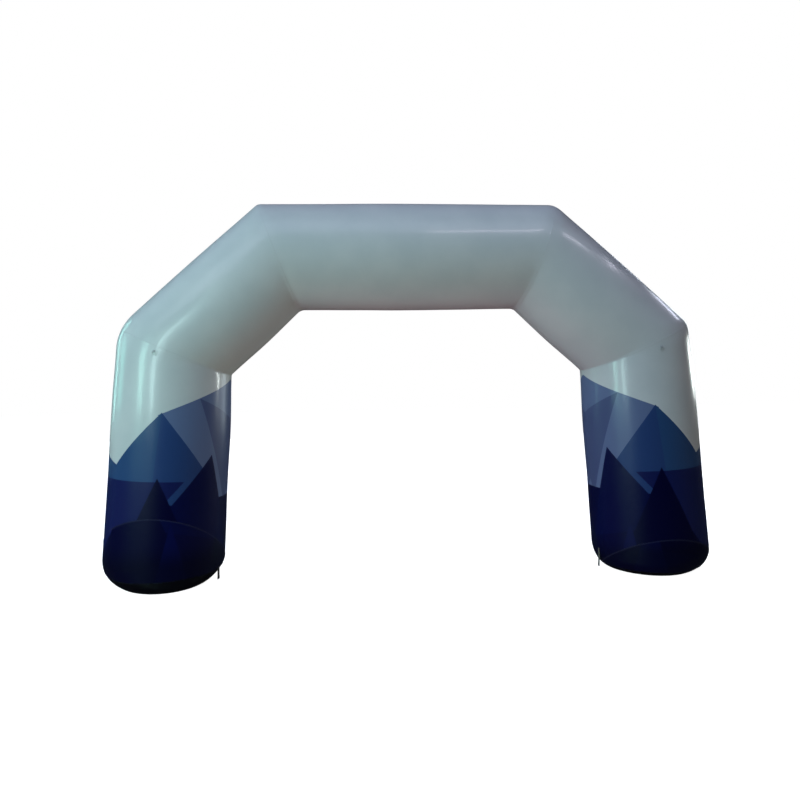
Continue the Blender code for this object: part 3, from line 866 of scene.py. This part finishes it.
def steel_finish():
    """Zinc-plated wire, duller where it rubs."""
    graph = finish_graph("zinc-plated steel")
    worn = graph.noise(graph.place(), RUBS, 4.0)
    return finished(graph, {
        "Base Color": graph.mixed(worn, (0.50, 0.51, 0.53), (0.66, 0.67, 0.68)), "Metallic": 1.0,
        "Roughness": worn * 0.25 + 0.22})


def wire_graph():
    """Round wire or thread bent along a path of edges."""
    graph, size = shape_graph("bent wire", {
        "Geometry": "Geometry", "Float": "Wire", "Int": "Sides", "Material": "Finish"})
    line = graph.node("GeometryNodeMeshToCurve", {}, {"Mesh": size["Geometry"]})
    section = graph.node("GeometryNodeCurvePrimitiveCircle", {}, {
        "Resolution": size["Sides"], "Radius": size["Wire"] / 2})
    wire = graph.node("GeometryNodeCurveToMesh", {}, {
        "Curve": line, "Profile Curve": section, "Fill Caps": True})
    close_graph(graph, (wire, size["Finish"]))
    return graph


def arc(centre, radius, first, last, steps):
    angles = [math.radians(first + (last - first) * step / steps) for step in range(steps + 1)]
    return [(centre[0] + radius * math.cos(a), centre[1] + radius * math.sin(a)) for a in angles]


def bar_tack(name, place, width, up, proud, colour):
    """A close zigzag of thread across webbing, which holds it down."""
    count = round(width / TACK_PITCH)
    zigzag = [place(width * (i / count - 0.5), up + TACK_HEIGHT * (i % 2 - 0.5), proud + TACK_THREAD / 2)
              for i in range(count + 1)]
    path = bpy.data.meshes.new("bar tack path")
    path.from_pydata(zigzag, [(i, i + 1) for i in range(count)], [])
    sewn(name, bent_wire, {"Wire": TACK_THREAD, "Sides": 6, "Finish": colour}, path)


white_webbing = webbing_finish("white webbing", (0.300, 0.340, 0.345), (0.480, 0.540, 0.545))
black_webbing = webbing_finish("black webbing", (0.010, 0.011, 0.012), (0.030, 0.032, 0.034))
grey_webbing = webbing_finish("grey webbing", (0.060, 0.075, 0.060), (0.120, 0.145, 0.120))
steel = steel_finish()
bent_wire = wire_graph()
for name, tether in TETHERS.items():
    side = CORNERS[name]["side"]
    cloth = cloth_of(legs[name])
    patch = round_patch(f"tether_patch_{name}_cloth", cloth, side, tether)
    fitted(patch, f"tether_patch_{name}", "white_skin")

    bar = on_cloth(cloth, side, tether["facing"], tether["height"] + BAR_ABOVE_PATCH_CENTRE)
    place = placing(bar, facing_way(tether["facing"]))
    inner_layer = WALL_GAP + PATCH_CLOTH + GAP + STRAP_CLOTH / 2
    loop_radius = STRAP_CLOTH / 2 + GAP + RING_WIRE / 2
    bar_proud = inner_layer + loop_radius
    outer_layer = inner_layer + STRAP_CLOTH + GAP
    line = [(inner_layer, STRAP_RISE), (inner_layer, STRAP_RISE / 2)]
    line += arc((bar_proud, 0), loop_radius, 180, 360, 10)
    line += smoothed([(outer_layer + loop_radius, STRAP_LEAVES_RING), (outer_layer, STRAP_MEETS),
                      (outer_layer, STRAP_RISE)], STRAP_STEPS)
    line = [(proud, up, STRAP_CLOTH) for proud, up in line]
    strap, run = webbing(f"tether_strap_{name}_webbing", line, STRAP_WIDTH, place, white_webbing)
    fitted(strap, f"tether_strap_{name}", "white_webbing")
    bar_tack(f"tether_strap_{name}_tack", place, STRAP_WIDTH - 2 * TACK_INSET, STRAP_RISE - TACK_HEIGHT,
             outer_layer + STRAP_CLOTH / 2, white_thread)

    bow = (RING_INNER_WIDTH + RING_WIRE) / 2
    corner = bow - RING_CORNER
    bend = arc((corner, -RING_CORNER), RING_CORNER, 90, 0, 8)
    bend += arc((0, -RING_CORNER - RING_SIDE), bow, 0, -180, 32)
    bend += arc((-corner, -RING_CORNER), RING_CORNER, 180, 90, 8)
    path = bpy.data.meshes.new("ring path")
    count = len(bend)
    path.from_pydata([place(aside, up, bar_proud) for aside, up in bend],
                     [(i, (i + 1) % count) for i in range(count)], [])
    ring_sizes = {"Wire": RING_WIRE, "Sides": 16, "Finish": steel}
    ring = made(f"tether_ring_{name}_wire", bent_wire, ring_sizes, path)
    ring.data.shade_smooth()
    fitted(ring, f"tether_ring_{name}", "ring_steel")


# ---- Anchor tails ------------------------------------------------------------------------------------
# A short tail of webbing by the passage side of each foot, its upper end bar-tacked to the cloth. It hangs
# to just off the ground, and its doubled tip is tied to a peg or a sandbag.

TAILS = {
    "left": {"facing": 77, "height": 0.115, "reach": 0.500, "width": 0.038, "finish": black_webbing,
             "under": WALL_GAP + PANEL_CLOTH + GAP, "slot": "black_webbing", "rests_on": panels["left"]},
    "right": {"facing": -81, "height": 0.165, "reach": 0.510, "width": 0.025, "finish": grey_webbing,
              "under": WALL_GAP, "slot": "grey_webbing", "rests_on": legs["right"]},
}
TAIL_CLOTH, TAIL_SEWN = 0.002, 0.012
TAIL_FALL = (0.35, 0.70)
TAIL_TIP_HEIGHT, TAIL_TIP_OUT, TAIL_TIP_DOWN = 0.012, 0.001, 0.014
for name, tail in TAILS.items():
    side, cloth = CORNERS[name]["side"], cloth_of(legs[name])
    away = facing_way(tail["facing"])
    foot_middle = Vector((side * FOOT_X, 0, 0))
    place = placing(foot_middle, away)

    def lying(height):
        on_leg = on_cloth(cloth, side, tail["facing"], height, tail["under"] + TAIL_CLOTH / 2)
        return (on_leg - foot_middle).dot(away), height, TAIL_CLOTH

    line = [lying(tail["height"]), lying(tail["height"] - TAIL_SEWN)]
    top, loose, tip = line[0], line[1], (tail["reach"], TAIL_TIP_HEIGHT)
    for share in TAIL_FALL:
        out, down = (tip[0] - loose[0]) * share**2, (tip[1] - loose[1]) * share
        line.append((loose[0] + out, loose[1] + down, TAIL_CLOTH))
    line += [(tip[0] - TAIL_TIP_OUT, tip[1] + TAIL_TIP_DOWN, 2 * TAIL_CLOTH), (*tip, 2 * TAIL_CLOTH)]
    piece, run = webbing(
        f"anchor_tail_{name}_webbing", smoothed(line, STRAP_STEPS), tail["width"], place, tail["finish"])
    fitted(piece, f"anchor_tail_{name}", tail["slot"])
    bar_tack(f"anchor_tail_{name}_tack", place, tail["width"] - 2 * TACK_INSET, top[1] - 1.5 * TACK_HEIGHT,
             top[0] + TAIL_CLOTH / 2, blue_thread)


# ---- Stand, light and camera -------------------------------------------------------------------------
# A white floor and white surroundings, with soft boxes round the arch for its highlights.

def camera():
    """A camera level with a standing person's eyes, a little to the left and turned slightly up."""
    yaw, pitch, roll = 0.0587, 0.1498, -0.0151
    focal, centre_x, centre_y, picture = 620.275, 403.165, 301.849, 800
    forward = Vector((math.sin(yaw) * math.cos(pitch), math.cos(yaw) * math.cos(pitch), math.sin(pitch)))
    right = Vector((math.cos(yaw), -math.sin(yaw), 0))
    up = right.cross(forward)
    right, up = (math.cos(roll) * right + math.sin(roll) * up, math.cos(roll) * up - math.sin(roll) * right)
    data = bpy.data.cameras.new("camera")
    data.sensor_width = 36
    data.lens = focal / picture * data.sensor_width
    data.shift_x = (picture / 2 - centre_x) / picture
    data.shift_y = (centre_y - picture / 2) / picture
    viewer = bpy.data.objects.new("camera", data)
    viewer.matrix_world = Matrix((right, up, -forward)).transposed().to_4x4()
    viewer.location = (-0.3893, -5.7744, 1.5344)
    bpy.context.collection.objects.link(viewer)
    bpy.context.scene.camera = viewer


LIT_POINT = Vector((0, 0, 1.6))


def lamp(name, azimuth, elevation, distance, size, power, colour, seen_in_gloss):
    """A flat soft box aimed at the middle of the arch. Azimuth 0 is in front and 90 to the right."""
    turn, rise = math.radians(azimuth), math.radians(elevation)
    away = Vector((math.sin(turn) * math.cos(rise), -math.cos(turn) * math.cos(rise), math.sin(rise)))
    light = bpy.data.lights.new(name, "AREA")
    light.energy, light.color = power, colour
    light.shape, light.size, light.size_y = "RECTANGLE", *size
    box = bpy.data.objects.new(name, light)
    box.location = LIT_POINT + away * distance
    box.rotation_euler = away.to_track_quat("Z", "Y").to_euler()
    box.visible_glossy = seen_in_gloss
    bpy.context.collection.objects.link(box)


camera()
world = bpy.data.worlds.new("surroundings")
bpy.context.scene.world = world
world.use_nodes = True
graph = Graph(world.node_tree)
backdrop = world.node_tree.nodes["Background"]
seen = graph.node("ShaderNodeLightPath").of("Is Camera Ray")
sky = graph.mixed(seen, (0.012, 0.014, 0.016), (1.0, 1.0, 1.0))
world.node_tree.links.new(sky.socket, backdrop.inputs["Color"])
bpy.context.scene.view_settings.view_transform = "Standard"

FLOOR_EDGE = 60
floor_mesh = bpy.data.meshes.new("floor")
floor_mesh.from_pydata(
    [(x * FLOOR_EDGE, y * FLOOR_EDGE, 0) for x, y in ((-1, -1), (1, -1), (1, 1), (-1, 1))], [],
    [(0, 1, 2, 3)])
floor = bpy.data.objects.new("floor", floor_mesh)
bpy.context.collection.objects.link(floor)
floor_mesh.materials.append(finished(finish_graph("pale floor"), {
    "Base Color": (0.8, 0.8, 0.8, 1), "Roughness": 0.5, "Emission Color": (1, 1, 1, 1),
    "Emission Strength": 1.0}))
floor.visible_diffuse = floor.visible_glossy = floor.visible_shadow = False

# Wide fills, which shape the tubes but don't show in their gloss: power and colour.
for name, azimuth, elevation, distance, size, power, colour in (
    ("fill high left", -90, 60, 16, (24, 24), 1720, (0.68, 0.66, 1.0)),
    ("fill high right", 90, 60, 16, (24, 24), 60, (1.0, 0.80, 1.0)),
    ("fill low left", -90, -45, 16, (24, 24), 1280, (1.0, 0.50, 0.67)),
    ("fill low right", 90, -45, 16, (24, 24), 1150, (1.0, 0.85, 0.71)),
    ("fill behind", 180, 25, 16, (24, 24), 1800, (0.9, 1.0, 1.0)),
    ("fill front left", -38, 4, 9, (4.0, 2.2), 148, (0.66, 1.0, 0.97)),
):
    lamp(name, azimuth, elevation, distance, size, power, colour, seen_in_gloss=False)

# Soft boxes 9 m off, whose reflections are the streaks on the tubes: width and height, power and colour.
for name, azimuth, elevation, size, power, colour in (
    ("sheet above the front", 0, 58, (10, 4.0), 124, (0.66, 0.68, 1.0)),
    ("tube above the front", 22, 47, (3.0, 0.3), 36, (0.96, 0.82, 1.0)),
    ("tube above the right", 66, 41, (2.4, 0.25), 26, (0.88, 0.85, 1.0)),
    ("tube high right", 88, 37, (2.4, 0.25), 15, (0.88, 0.85, 1.0)),
    ("tube far right", 112, 24, (2.6, 0.3), 22, (0.80, 0.84, 1.0)),
    ("tube behind the right", 143, 24, (4.4, 0.25), 16, (0.75, 0.84, 1.0)),
    ("strip left", -56, 5.5, (1.3, 2.2), 100, (0.50, 1.0, 0.87)),
    ("strip near left", -36, 6, (1.1, 2.5), 96, (0.66, 1.0, 0.97)),
    ("strip side left", -97, 7, (1.6, 2.6), 35, (0.32, 1.0, 0.85)),
    ("strip back left", -115, 10, (0.5, 4.0), 45, (0.45, 1.0, 0.90)),
    ("sheet high left", -46, 33, (4.0, 2.5), 50, (0.75, 0.85, 1.0)),
    ("sheet right", 138, 6, (3.0, 3.5), 98, (0.80, 0.95, 1.0)),
    ("slit right", 115, 3, (0.8, 0.9), 58, (0.90, 1.0, 0.98)),
):
    lamp(name, azimuth, elevation, 9, size, power, colour, seen_in_gloss=True)
